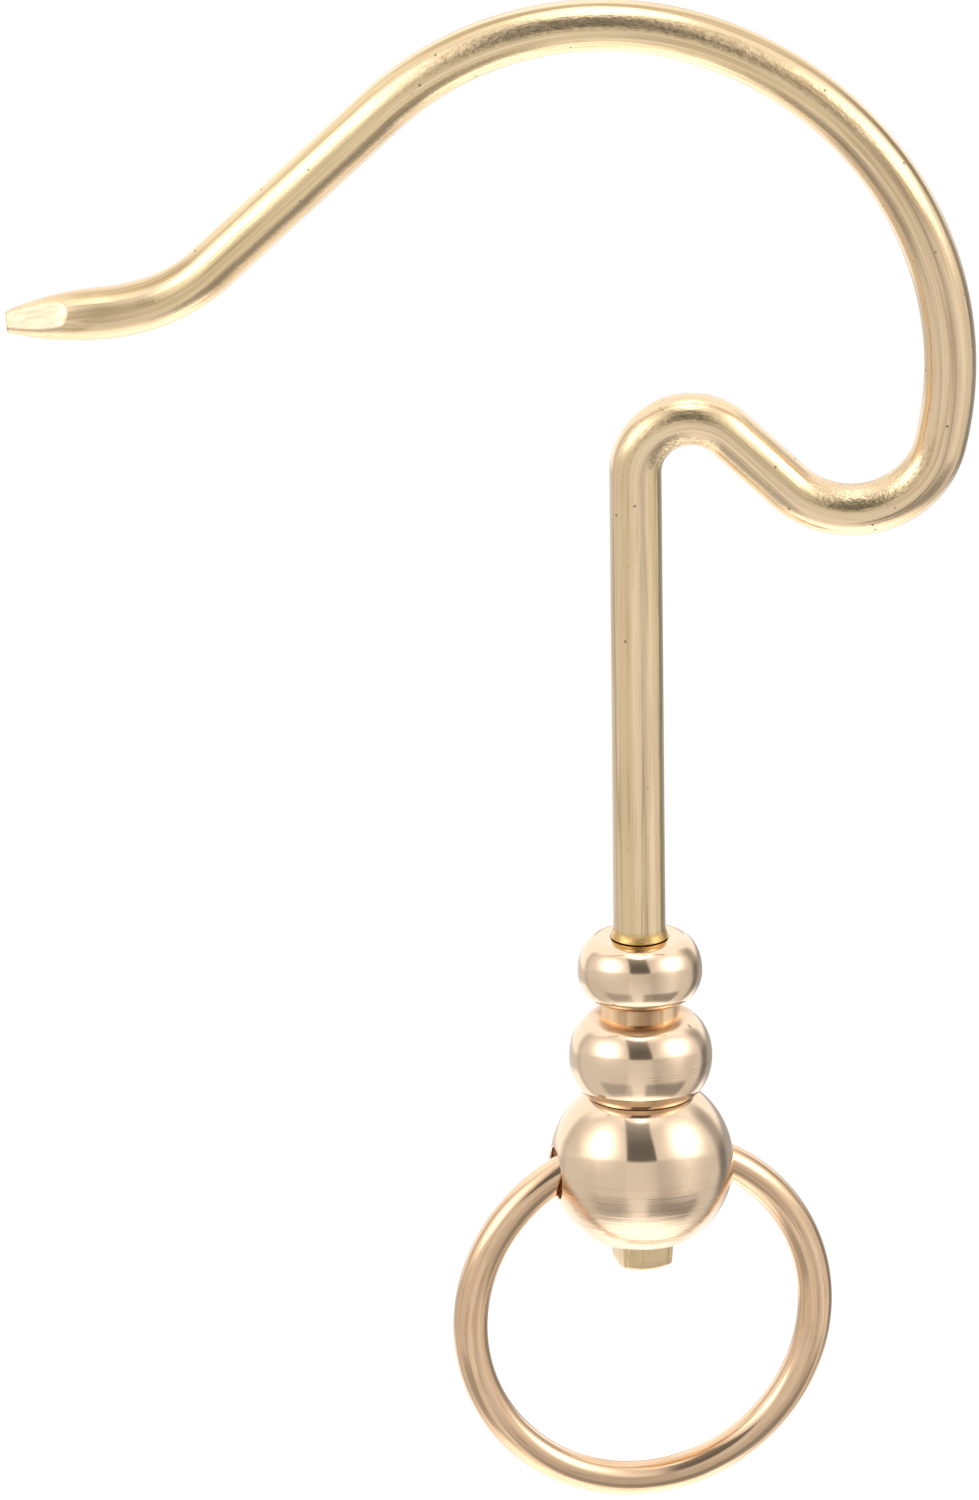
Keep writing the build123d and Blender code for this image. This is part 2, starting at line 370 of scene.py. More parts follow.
def rodPath(runs, start):
    # walks the centreline in the XZ plane: a run turns evenly, so its points lie on a circle
    x, z, heading = start
    places, headings, lengths, walked = [], [], [], 0.0
    for length, turn, t in runs:
        turned = heading + math.radians(turn) * t
        if turn:
            radius = length / math.radians(turn)
            end = heading + math.radians(turn)
            px = x + radius * (np.sin(turned) - math.sin(heading))
            pz = z - radius * (np.cos(turned) - math.cos(heading))
            x += radius * (math.sin(end) - math.sin(heading))
            z -= radius * (math.cos(end) - math.cos(heading))
            heading = end
        else:
            px, pz = x + length * t * math.cos(heading), z + length * t * math.sin(heading)
            x, z = x + length * math.cos(heading), z + length * math.sin(heading)
        places.append(np.stack([px, np.zeros(len(t)), pz], axis=1))
        headings.append(turned)
        lengths.append(walked + length * t)
        walked += length
    end = (np.array([x, 0.0, z]), heading, walked)
    return np.concatenate(places), np.concatenate(headings), np.concatenate(lengths), end


def rodRuns():
    # length, turn and steps of each run; the shaft's rows are close together round the flare
    below, above = rod["shaftRows"]
    flareAt, last = rod["flareAt"], rod["shaft"] - rod["clearOfBend"]
    steps = np.concatenate([np.linspace(0, flareAt - rod["clearBelow"], below),
                            flareAt + np.array(rod["flareRows"]),
                            np.linspace(flareAt + rod["clearAbove"], last, above)])
    runs = [(rod["shaft"], 0.0, steps / rod["shaft"])]
    for name, rows in rod["bendRows"].items():
        t = np.arange(rows) / rows
        if name + "Turn" in rod:
            turn = rod[name + "Turn"]
            runs.append((rod[name + "Radius"] * math.radians(abs(turn)), turn, t))
        else:
            runs.append((rod[name], 0.0, t))
    return runs


def rodReach(walked, past, theta):
    # distance from the axis to the surface for each row and column, and how far each place is ground away
    radius = rod["radius"]
    # flare: a short cone above the collar, eased into the rod, with a small edge at its foot
    rise = walked - rod["flareAt"]
    ease = rod["flareSoftness"]
    flare = (rod["flareRadius"] - radius) * (1 - rise / rod["flareHeight"])
    onFlare = (rise >= 0) & (rise < rod["flareEnd"])
    flare = np.where(onFlare, ease * np.log1p(np.exp(flare / ease)), 0.0)
    flare[np.isclose(rise, 0)] -= rod["flareEdge"]
    # point: its radius falls on a circle that leaves the rod smoothly
    fall = radius - rod["pointEnd"]
    bow = (rod["pointLength"] ** 2 + fall**2) / (2 * fall)
    roundReach = radius + flare - bow + np.sqrt(bow**2 - np.maximum(past, 0) ** 2)
    reach = np.repeat(roundReach[:, None], len(theta), axis=1)
    # a flat: a slope down to the end and a short steep step up to the rod, the two lines eased together
    slope = (rod["flatStart"] - rod["flatEnd"]) / rod["flatLength"]
    fromStart = past - rod["pointLength"] + rod["flatLength"]
    down = rod["flatStart"] - slope * fromStart
    stepReach = 4.0  # further back the step lies outside the rod
    up = rod["flatStart"] - math.tan(math.radians(rod["flatStep"])) * np.maximum(fromStart, -stepReach)
    ease = rod["stepSoftness"]
    flat = np.maximum(down, up) + ease * np.log1p(np.exp(-np.abs(down - up) / ease))
    # the nearest of round and flats is kept, eased at their edges
    softness = rod["edgeSoftness"]
    total = np.exp(-(reach - radius) / softness)
    leastFacing, farOff = 0.3, 9.0  # a flat counts only where the surface faces it
    for side in range(rod["flats"]):
        facing = np.cos(theta + math.radians(rod["flatRoll"]) + side * fullTurn / rod["flats"])
        onFlat = flat[:, None] / np.maximum(facing, leastFacing)
        distance = np.where(facing > leastFacing, onFlat, farOff)
        total = total + np.exp(-(distance - radius) / softness)
    beforePoint = 0.5
    nearEnd = (past > -beforePoint)[:, None]
    cut = radius - softness * np.log(total)
    ground = np.where(nearEnd, np.clip((reach - cut) / rod["groundDepth"], 0, 1), 0.0)
    return np.where(nearEnd, cut, reach), ground


def roundedSquare(angle, half, corner):
    # distance to a square's edge in a direction: the flat side, or the round corner where it meets that
    fold = np.abs((angle + math.pi / 4) % (math.pi / 2) - math.pi / 4)
    middle = half - corner
    along = middle * (np.cos(fold) + np.sin(fold))
    across = middle * (np.cos(fold) - np.sin(fold))
    onCorner = along + np.sqrt(np.maximum(corner**2 - across**2, 0))
    onSide = half / np.cos(fold)
    return np.where(onSide * np.sin(fold) > middle, onCorner, onSide)


def headRows(theta):
    # the head's rows go out over the dome below it, up its four sides and in to the shaft; each is a
    # distance from the axis and a rise above the dome's lowest place
    planAngle = np.arctan2(-np.cos(theta), -np.sin(theta)) - math.radians(rod["headTwist"])
    lean = math.tan(math.radians(rod["headTaper"]))
    low = rod["headHalf"] - lean * rod["headHeight"]
    rim = roundedSquare(planAngle, low, rod["headCorner"])

    def domeAt(reach):
        return rod["headDome"] - np.sqrt(rod["headDome"] ** 2 - reach**2)

    domeReach = np.array(rod["domeRows"])[:, None] * rim
    sideRise = domeAt(rim) + np.array(rod["sideRows"])[:, None] * (rod["headHeight"] - domeAt(rim))
    sideReach = roundedSquare(planAngle, low + lean * sideRise, rod["headCorner"])
    sideReach[[0, -1]] -= rod["headEdge"]
    topReach = np.stack([sideReach[-2] - 3 * rod["headEdge"], (sideReach[-2] + rod["radius"]) / 2,
                         np.full(len(theta), rod["radius"])])
    reach = np.concatenate([domeReach, sideReach, topReach])
    topRise = np.full(topReach.shape, rod["headHeight"])
    return reach, np.concatenate([domeAt(domeReach), sideRise, topRise])


def buildRod():
    # a round section carried along the bent centreline; angle 0 of the section faces the front
    theta = np.arange(rod["columns"]) / rod["columns"] * fullTurn
    headTop = ballLow[2] - rod["headGap"]
    places, headings, walked, end = rodPath(rodRuns(), (0.0, headTop, math.pi / 2))
    lipEnd, heading, lipLength = end
    # the point goes straight on from the lip
    endWay = np.array([math.cos(heading), 0.0, math.sin(heading)])
    past = np.linspace(0.0, rod["pointLength"], rod["pointRows"])
    places = np.concatenate([places, lipEnd + past[:, None] * endWay])
    walked = np.concatenate([walked, lipLength + past])
    reach, ground = rodReach(walked, walked - lipLength, theta)
    # its blunt end: a small rounded edge, then in to the middle
    bevel = rod["endBevel"]
    turn = np.linspace(0.25, 1.0, 4) * math.pi / 2
    endReach = reach[-1] - bevel * (1 - np.cos(turn))[:, None]
    endReach = np.concatenate([endReach, endReach[-1:] * np.array([[0.66], [0.33]])])
    endPast = np.concatenate([bevel * np.sin(turn) - bevel, [0.0, 0.0]])
    places[-1] = places[-1] - bevel * endWay
    places = np.concatenate([places, lipEnd + (rod["pointLength"] + endPast)[:, None] * endWay])
    walked = np.concatenate([walked, walked[-1] + endPast])
    headings = np.concatenate([headings, np.full(len(places) - len(headings), heading)])
    reach = np.concatenate([reach, endReach])
    ground = np.concatenate([ground, np.zeros(endReach.shape)])
    # points of each row, and for the finish: length along the rod, reach to the front, reach in the plane
    normal = np.stack([-np.sin(headings), np.zeros(len(headings)), np.cos(headings)], axis=1)
    toFront, inPlane = reach * np.cos(theta), reach * np.sin(theta)
    frontWay = np.array([0.0, -1.0, 0.0])
    rows = places[:, None] + toFront[..., None] * frontWay + inPlane[..., None] * normal[:, None]
    along = np.stack([np.repeat(walked[:, None], len(theta), 1), toFront, inPlane], axis=-1)
    headReach, headRise = headRows(theta)
    headBottom = headTop - rod["headHeight"]
    toFront, inPlane = headReach * np.cos(theta), headReach * np.sin(theta)
    headGrid = np.stack([-inPlane, -toFront, headBottom + headRise], axis=-1)
    headAlong = np.stack([headRise - rod["headHeight"], toFront, inPlane], axis=-1)
    # the head's last row takes the place of the shaft's first
    points, faces = cappedTube(np.concatenate([headGrid, rows[1:]]), [0, 0, headBottom], places[-1])
    along = np.concatenate([headAlong.reshape(-1, 3), along[1:].reshape(-1, 3),
                            [[-rod["headHeight"], 0, 0], [walked[-1], 0, 0]]])
    ground = np.concatenate([np.zeros(headReach.size), ground[1:].ravel(), [0.0, 0.0]])
    makePiece("hookRod", points, faces, "hook", "hook_rod", "drawn_brass", drawnBrass(),
              along=along, ground=ground)


buildRod()


# Turned pieces share a finish. Heights count from the ball's middle.
turnedLook = dict(
    tint=(0.755, 0.575, 0.408),
    stainTint=(0.60, 0.44, 0.28),
    speckTint=(0.22, 0.13, 0.07),
    # the next two tints are painted reflection in the collar's groove: dark patches and an orange glow
    grooveShadeTint=(0.44, 0.265, 0.14),
    grooveReflectionTint=(0.99, 0.70, 0.43),
    holeTint=(0.60, 0.38, 0.24),
    scratchTint=(0.38, 0.25, 0.14),
    roughness=0.085,
    satin=0.15, satinTop=(-0.5, 1.5),  # lower half of the ball, left from the tool
    toolRings=(60.0, 60.0, 2600.0), smears=600.0, clouds=260.0, specks=(420.0, 0.06),
    ringRelief=0.35, satinRelief=4.0,  # hundredths of a millimetre
    scratches=(10.72, 11.02), scratchWidth=0.06,
    groove=(15.10, 16.9), grooveEdge=0.12, grooveShadePatches=3.0,
    holeAway=(8.3, 8.6), holeHeight=(3.2, 3.6),  # edges of the holes' brown, from the ball's middle
)


def turnedBrass():
    # turned and polished: rings from the tool round the shaft, clearest on the lower half of the ball,
    # faint stains, a painted reflection in the collar's groove: an orange glow with dark patches in
    # upright streaks, dull brown in the ball's holes
    material = bpy.data.materials.new("turnedBrass")
    look, make = turnedLook, nodeMaker(material)
    add, sums, times = make.add, make.sums, make.times
    ramp, tinted = make.ramp, make.tinted
    place = add("ShaderNodeTexCoord").outputs["Object"]
    middle = tuple(float(v) * millimetre for v in ballCentre)
    centred = add("ShaderNodeVectorMath", {0: place, 1: middle}, operation="SUBTRACT").outputs[0]
    distance = add("ShaderNodeVectorMath", {0: centred}, operation="LENGTH").outputs["Value"]
    x, y, z = add("ShaderNodeSeparateXYZ", {"Vector": centred}).outputs
    away, z = times(distance, 1 / millimetre), times(z, 1 / millimetre)
    below = ramp(z, *look["satinTop"], 1.0, 0.0)
    rings = make.noise(place, 1.0, 4.0, 0.65, scale=look["toolRings"])
    smears = make.noise(place, look["smears"], 3.0, scale=(1.0, 1.0, 0.0))
    clouds = make.noise(place, look["clouds"], 2.0)
    specks = make.speckled(place, *look["specks"])
    colour = tinted(ramp(clouds, 0.5, 0.72, 0.0, 0.45), (*look["tint"], 1), look["stainTint"])
    ringShare = ramp(below, 0.0, 1.0, 0.10, 0.5)
    colour = tinted(times(ramp(rings, 0.5, 0.72), ringShare), colour, look["stainTint"])
    colour = tinted(times(specks, 0.6), colour, look["speckTint"])
    # thin scratches round one side of the lower bead
    oneSide = times(ramp(x, -0.001, 0.002), ramp(smears, 0.4, 0.55), 0.6)
    for scratchAt in look["scratches"]:
        off = sums("ABSOLUTE", sums("SUBTRACT", z, scratchAt))
        scratch = ramp(off, 0.0, look["scratchWidth"], 1.0, 0.0)
        colour = tinted(times(scratch, oneSide), colour, look["scratchTint"])
    # painted reflection in the groove: an orange glow all round, and three broad uneven dark patches, one
    # of them facing the front
    low, high = look["groove"]
    edge = look["grooveEdge"]
    groove = times(ramp(z, low, low + edge), ramp(z, high - edge, high, 1.0, 0.0))
    shadePatches = sums("MULTIPLY_ADD", sums("ARCTAN2", y, x), look["grooveShadePatches"], 1.5 * math.pi)
    shadePatches = sums("MULTIPLY_ADD", sums("COSINE", shadePatches), 0.22, smears)
    colour = tinted(groove, colour, look["grooveReflectionTint"])
    colour = tinted(times(groove, ramp(shadePatches, 0.25, 0.72)), colour, look["grooveShadeTint"])
    nearMiddle = ramp(sums("ABSOLUTE", z), *look["holeHeight"], 1.0, 0.0)
    hole = times(ramp(away, *look["holeAway"], 1.0, 0.0), nearMiddle)
    colour = tinted(hole, colour, look["holeTint"])
    # duller in the groove and the holes
    rough = sums("MULTIPLY_ADD", below, look["satin"] - look["roughness"], look["roughness"])
    rough = sums("ADD", rough, ramp(clouds, 0.4, 0.75, 0.0, 0.05))
    dull = times(ramp(z, low - 0.5, low - 0.1), ramp(z, high, high + 0.2, 1.0, 0.0))
    rough = sums("MULTIPLY_ADD", dull, 0.22, sums("MULTIPLY_ADD", hole, 0.4, rough))
    height = times(rings, sums("MULTIPLY_ADD", below, look["satinRelief"], look["ringRelief"]))
    height = times(height, ramp(hole, 0.0, 1.0, 1.0, 0.0))
    make.metal(colour, rough, height, 0.8, ramp(hole, 0.0, 1.0, 1.0, 0.2))
    return material


turnedMaterial = turnedBrass()

# Collar: an outline of radius and height, turned about the shaft
collar = dict(
    bore=2.5,
    lowerRadius=6.9, lowerFootCore=4.1, lowerCore=3.8, lowerDrop=4.16, lowerRise=4.25,
    footRadius=5.25, footHeight=7.15,
    neckRadius=3.77, neckHeight=1.63,
    upperRadius=6.0, upperFootCore=4.0, upperCore=3.85, upperDrop=2.78, upperRise=3.42,
    mouthRadius=2.85, mouthDepth=0.35,
    edge=0.06, footShare=0.4, neckShare=0.5,  # rounding, and shares of it at foot and neck
    columns=192, lowerRows=(34, 38), upperRows=(36, 38),  # below and above the widest place
)


def cornered(outline, edge, rows=4):
    # each corner of an outline, given as (radius, height, share of the edge), becomes a small curve
    # between two points on its sides: a blend of the corner with them by squares of the step
    outline = np.array(outline, float)
    corner = outline[:, :2]
    back, ahead = np.roll(corner, 1, axis=0) - corner, np.roll(corner, -1, axis=0) - corner
    backLength, aheadLength = np.hypot(*back.T), np.hypot(*ahead.T)
    cut = np.minimum(edge, np.minimum(backLength, aheadLength) * 0.45) * outline[:, 2]
    enter = corner + back * (cut / backLength)[:, None]
    leave = corner + ahead * (cut / aheadLength)[:, None]
    t = np.linspace(0, 1, rows)[:, None, None]
    curve = (1 - t) ** 2 * enter + 2 * t * (1 - t) * corner + t**2 * leave
    curve = curve.transpose(1, 0, 2)
    keep = np.ones(curve.shape[:2], bool)
    keep[outline[:, 2] == 0, 1:] = False
    return curve[keep]


def turnedGrid(outline, columns, first=0.0):
    # a closed outline of radius and height, carried round the shaft
    phi = first + np.arange(columns) / columns * fullTurn
    return np.stack([outline[:, :1] * np.cos(phi), outline[:, :1] * np.sin(phi),
                     np.repeat(outline[:, 1:2], columns, axis=1)], axis=-1)


def bead(core, radius, middle, rise, fromAngle, toAngle, rows):
    # part of an ellipse that stands on a core: radius = core + width x cos, height = middle + rise x sin
    a = np.radians(np.linspace(fromAngle, toAngle, rows))
    reach = core + (radius - core) * np.cos(a)
    return np.stack([reach, middle + rise * np.sin(a), np.zeros(rows)], axis=1)


def buildCollar():
    # each bead is two quarter ellipses that meet where it is widest; the lowest is cut off at the foot
    footCore = collar["lowerFootCore"]
    lowerRadius, upperRadius = collar["lowerRadius"], collar["upperRadius"]
    footAngle = math.acos((collar["footRadius"] - footCore) / (lowerRadius - footCore))
    lowerMiddle = collar["footHeight"] + collar["lowerDrop"] * math.sin(footAngle)
    lowerTop = lowerMiddle + collar["lowerRise"]
    upperFoot = lowerTop + collar["neckHeight"]
    upperMiddle = upperFoot + collar["upperDrop"]
    top = upperMiddle + collar["upperRise"]
    footDegrees = math.degrees(footAngle)
    below, above = collar["lowerRows"]
    lower = np.concatenate([
        bead(footCore, lowerRadius, lowerMiddle, collar["lowerDrop"], -footDegrees, 0, below)[:-1],
        bead(collar["lowerCore"], lowerRadius, lowerMiddle, collar["lowerRise"], 0, 90, above)])
    below, above = collar["upperRows"]
    upper = np.concatenate([
        bead(collar["upperFootCore"], upperRadius, upperMiddle, collar["upperDrop"], -90, 0, below)[:-1],
        bead(collar["upperCore"], upperRadius, upperMiddle, collar["upperRise"], 0, 90, above)])
    lower[0, 2] = collar["footShare"]
    neck, share = collar["neckRadius"], collar["neckShare"]
    corners = [
        [[collar["bore"], collar["footHeight"], 1]], lower,
        [[neck, lowerTop, share], [neck, upperFoot, share]], upper,
        [[collar["mouthRadius"], top, 1], [collar["bore"], top - collar["mouthDepth"], 0]],
    ]
    outline = cornered(np.concatenate(corners), collar["edge"])
    grid = turnedGrid(outline, collar["columns"]) + ballCentre
    numbers = np.arange(grid.shape[0] * grid.shape[1]).reshape(grid.shape[:2])
    makePiece("beadCollar", grid.reshape(-1, 3), [quadsOf(numbers, closeRows=True)],
              "hook", "bead_collar", "turned_brass", turnedMaterial)


buildCollar()


# Ball: a turned outline with flat ends and a bore. Round each hole, rings about it take the cells' place.
ball = dict(
    radius=8.85, half=7.1, bore=2.55, edge=0.06,
    holeRadius=2.506, holeFloor=5.6, holeEdge=0.12, floorEdge=0.1, wallMiddle=7.2,
    columns=240, latitudes=72, blockColumns=18, blockRows=19, rings=9, ringEase=1.3,
)


def holePatch(loop, way, right, holeHeight):
    # seen along the hole, by spread from its axis and depth along it: rings from the block's edge in to
    # the rim, on the ball's face, then over the rim's rounded edge, down the wall and in on the floor
    across, above = loop @ right, loop @ upWay - holeHeight
    around, outer = np.arctan2(above, across), np.hypot(above, across)
    wall, floor, edge = ball["holeRadius"], ball["holeFloor"], ball["holeEdge"]
    rim = wall + edge
    t = np.linspace(0, 1, ball["rings"] + 1)[1:, None]
    spread = outer + (rim - outer) * (1 - (1 - t) ** ball["ringEase"])
    height = holeHeight + spread * np.sin(around)
    depth = np.sqrt(ball["radius"] ** 2 - (spread * np.cos(around)) ** 2 - height**2)
    turn = np.linspace(0.2, 1, 5)[:, None] * math.pi / 2
    edgeSpread = rim - edge * np.sin(turn) + 0 * around
    edgeDepth = depth[-1] - edge * (1 - np.cos(turn) + 0.2 * np.sin(turn))
    floorEdge = ball["floorEdge"]
    inSpread = np.array([wall, wall, wall - floorEdge, wall * 0.4])[:, None] + 0 * around
    inDepth = np.array([ball["wallMiddle"], floor + floorEdge, floor, floor])[:, None] + 0 * around
    spread = np.concatenate([spread, edgeSpread, inSpread])[..., None]
    depth = np.concatenate([depth, edgeDepth, inDepth])[..., None]
    sideways = np.cos(around)[:, None] * right + np.sin(around)[:, None] * upWay
    return depth * way + spread * sideways + holeHeight * upWay


def buildBall():
    radius, half = ball["radius"], ball["half"]
    top = math.asin(half / radius)
    latitude = np.linspace(-top, top, ball["latitudes"] + 1)
    arc = radius * np.stack([np.cos(latitude), np.sin(latitude), 0 * latitude], axis=1)
    arc[[0, -1], 2] = 0.5
    ends = np.array([[ball["bore"], half, 1], [ball["bore"], -half, 1]])
    outline = cornered(np.concatenate([arc, ends]), ball["edge"])
    grid = turnedGrid(outline, ball["columns"], math.atan2(holeWay[1], holeWay[0]))
    rows, columns = grid.shape[:2]
    numbers = np.arange(rows * columns).reshape(rows, columns)
    cells = quadsOf(numbers, closeRows=True)
    onFace = outline[:, 0] > radius - 1
    equator = int(np.argmin(np.where(onFace, np.abs(outline[:, 1]), radius)))
    taken = np.zeros(cells.shape[:2], bool)
    points, faces, total = [grid.reshape(-1, 3)], [], rows * columns
    wide, tall = ball["blockColumns"], ball["blockRows"]
    holeHeight = holeCentre[2] - ballCentre[2]
    for side, way, right in ((0, holeWay, sideWay), (columns // 2, -holeWay, -sideWay)):
        # a block of cells is taken out, and the hole's rings start from the loop round it
        cols = (side + np.arange(-wide, wide + 1)) % columns
        band = equator + np.arange(-tall, tall + 1)
        taken[np.ix_(band[:-1], cols[:-1])] = True
        loop = np.concatenate([numbers[band[0], cols[:-1]], numbers[band[:-1], cols[-1]],
                               numbers[band[-1], cols[:0:-1]], numbers[band[:0:-1], cols[0]]])
        patch = holePatch(points[0][loop], way, right, holeHeight)
        own = total + np.arange(patch.shape[0] * patch.shape[1]).reshape(patch.shape[:2])
        pole = total + own.size
        faces += [quadsOf(np.concatenate([loop[None], own])), fanOf(own[-1], pole)]
        points += [patch.reshape(-1, 3), [ball["holeFloor"] * way + holeHeight * upWay]]
        total = pole + 1
    faces.insert(0, cells[~taken])
    makePiece("swivelBall", np.concatenate(points) + ballCentre, faces,
              "ball", "swivel_ball", "turned_brass", turnedMaterial)


buildBall()


# Ring: round wire carried round an open circle, in the plane of the shaft and the holes
ring = dict(
    radius=17.0, wire=1.65, edge=0.2,
    endFromShaft=6.5, drop=15.038,  # its centre lies this far below the holes
    rows=420, columns=64, edgeRows=5,
)

ringLook = dict(
    tint=(0.70, 0.485, 0.312),
    streakTint=(0.50, 0.31, 0.16),
    brightTint=(0.86, 0.64, 0.445),
    roughness=0.12,
    # patterns: how much the length counts, fineness, detail, roughness
    streaks=(0.05, 3.6, 4.0, 0.6), bright=(0.03, 1.6, 2.0, 0.5), waves=(1.0, 0.22, 1.0, 0.5),
    streakRelief=0.5, waveRelief=5.0,  # hundredths of a millimetre
)


def ringBrass():
    # polished wire: warmer than the rod, with faint streaks along it
    material = bpy.data.materials.new("ringBrass")
    look, make = ringLook, nodeMaker(material)
    sums, ramp, tinted = make.sums, make.ramp, make.tinted
    along = make.add("ShaderNodeAttribute", attribute_name="along").outputs["Vector"]
    patterns = (make.drawnOut(along, *look[name]) for name in ("streaks", "bright", "waves"))
    streaks, bright, waves = patterns
    colour = tinted(ramp(bright, 0.52, 0.68, 0.0, 0.7), (*look["tint"], 1), look["brightTint"])
    colour = tinted(ramp(streaks, 0.48, 0.72, 0.0, 0.6), colour, look["streakTint"])
    rough = sums("ADD", ramp(streaks, 0.3, 0.8, 0.0, 0.1), look["roughness"])
    height = sums("MULTIPLY_ADD", streaks, look["streakRelief"], make.times(waves, look["waveRelief"]))
    make.metal(colour, rough, height, 0.4)
    return material


def buildRing():
    gapHalf = math.asin(ring["endFromShaft"] / ring["radius"])
    t = np.linspace(gapHalf, fullTurn - gapHalf, ring["rows"])
    theta = np.arange(ring["columns"]) / ring["columns"] * fullTurn
    # the wire's ends: a rounded edge over the last steps, then the flat
    edgeRows = ring["edgeRows"]
    turn = np.linspace(0, 1, edgeRows) * math.pi / 2
    shrink = ring["edge"] * (1 - np.cos(turn))
    back = ring["edge"] * (1 - np.sin(turn)) / ring["radius"]
    lead = np.concatenate([gapHalf + back[::-1], t[2:-2], fullTurn - gapHalf - back])
    wire = np.full(len(lead), ring["wire"])
    wire[:edgeRows] -= shrink[::-1]
    wire[-edgeRows:] -= shrink
    # each place round the wire: a share outwards from the ring's centre and a share to its side
    outWay = np.sin(lead)[:, None] * holeWay + np.cos(lead)[:, None] * upWay
    centre = holeCentre - ring["drop"] * upWay
    middle = centre + ring["radius"] * outWay
    outwards, sidewards = wire[:, None] * np.cos(theta), wire[:, None] * np.sin(theta)
    grid = middle[:, None] + outwards[..., None] * outWay[:, None] + sidewards[..., None] * sideWay
    walked = lead * ring["radius"]
    along = np.stack([np.repeat(walked[:, None], len(theta), 1), outwards, sidewards], axis=-1)
    along = np.concatenate([along.reshape(-1, 3), [[walked[0], 0, 0], [walked[-1], 0, 0]]])
    points, faces = cappedTube(grid, middle[0], middle[-1])
    makePiece("hangingRing", points, faces, "ring", "hanging_ring", "ring_brass", ringBrass(),
              along=along)


buildRing()


# Camera: the photograph's height and tilt, far off with a long lens. Metres.
view = dict(
    target=(-0.01418, 0.0, -0.07050), distance=3.983,
    height=20.0, roll=-0.58,  # degrees
    tall=0.1434,  # height of the picture, at the target
)

# Studio: a light tent round the ball, with two soft lamps and an opening in front. Levels are the
# brightness of its cloth. Bearings are degrees left or right of the front, heights degrees upwards.
studio = dict(
    tentRadius=620.0, tentRows=48, tentColumns=96,  # millimetres
    wall=0.87, cloth=0.95, roof=1.45, top=3.2, back=1.4, backStrip=0.7, table=2.05,
    wallChanges=[(25.0, 10.0, -0.16), (61.0, 10.0, 0.2)],  # bearing, spread, change of level
    lamps=[(-63.0, 29.0, 2.7), (70.5, 31.0, 2.9)],  # bearing, height, strength
    lampSpread=13.5, underBar=0.3,  # degrees, and the share of the lamps' light below the bar
    stripLevels=(1.28, 1.06), openingLevels=(0.19, 0.40),  # share of the level left, foot and top
    # where one place eases into the next: along X, Y or Z of the direction from the ball
    frontEdge=(-0.15, -0.05), behindEdge=(0.3, 0.5), barEdge=(-0.04, 0.025), barSag=-0.08,
    stripSide=(0.30, 0.36), backSide=(0.12, 0.25), windowSide=(0.08, 0.13),
    topEdge=(0.945, 0.98), openingLeft=(-0.335, -0.285), openingRight=(0.33, 0.16),
    openingSoft=0.025,
    # and by heights and bearings; three numbers are from, to and softness
    wallFoot=(-42, -28), stripTop=(17, 21), stripRun=(-48, 5), roofSoft=8,
    roofBearings=(80, 122), roofHeights=(63, 30), backLeft=(-128, -116), backRight=(130, 140),
    backHeights=(4, 15, 4.0), windowHeights=(70.5, 76, 1.5), tableEdge=(-72, -46),
    openingHeights=(19.5, 68, 1.5), openingRun=(15, 70), openingFade=(35, 66),
    # patches of cloth: heights from, to and softness, bearings in the same way, and a level
    backPatches=[
        ((-23, -9, 3.0), (-168, -108, 5.0), 0.86),
        ((-30, 0, 6.0), (114, 172, 6.0), 0.5),
    ],
    # dark places in the same way, with the share of the level left: low gaps beside the table, wall edges
    shades=[
        ((-57, -30, 4.0), (-72, -17, 5.0), 0.64),
        ((-57, -30, 4.0), (8, 82, 5.0), 0.46),
        ((-45, 40, 10.0), (-122, -110, 5.0), 0.85),
        ((-45, 40, 10.0), (112, 132, 7.0), 0.56),
    ],
    # floor and the lamp over it, in metres
    floorDrop=0.06, floorRadius=0.4, floorColumns=96,
    lampPlace=(-0.15, -0.2, 0.9), lampTurn=(-12.0, -9.0, 0.0), lampSize=0.5, lampPower=6.0,
)


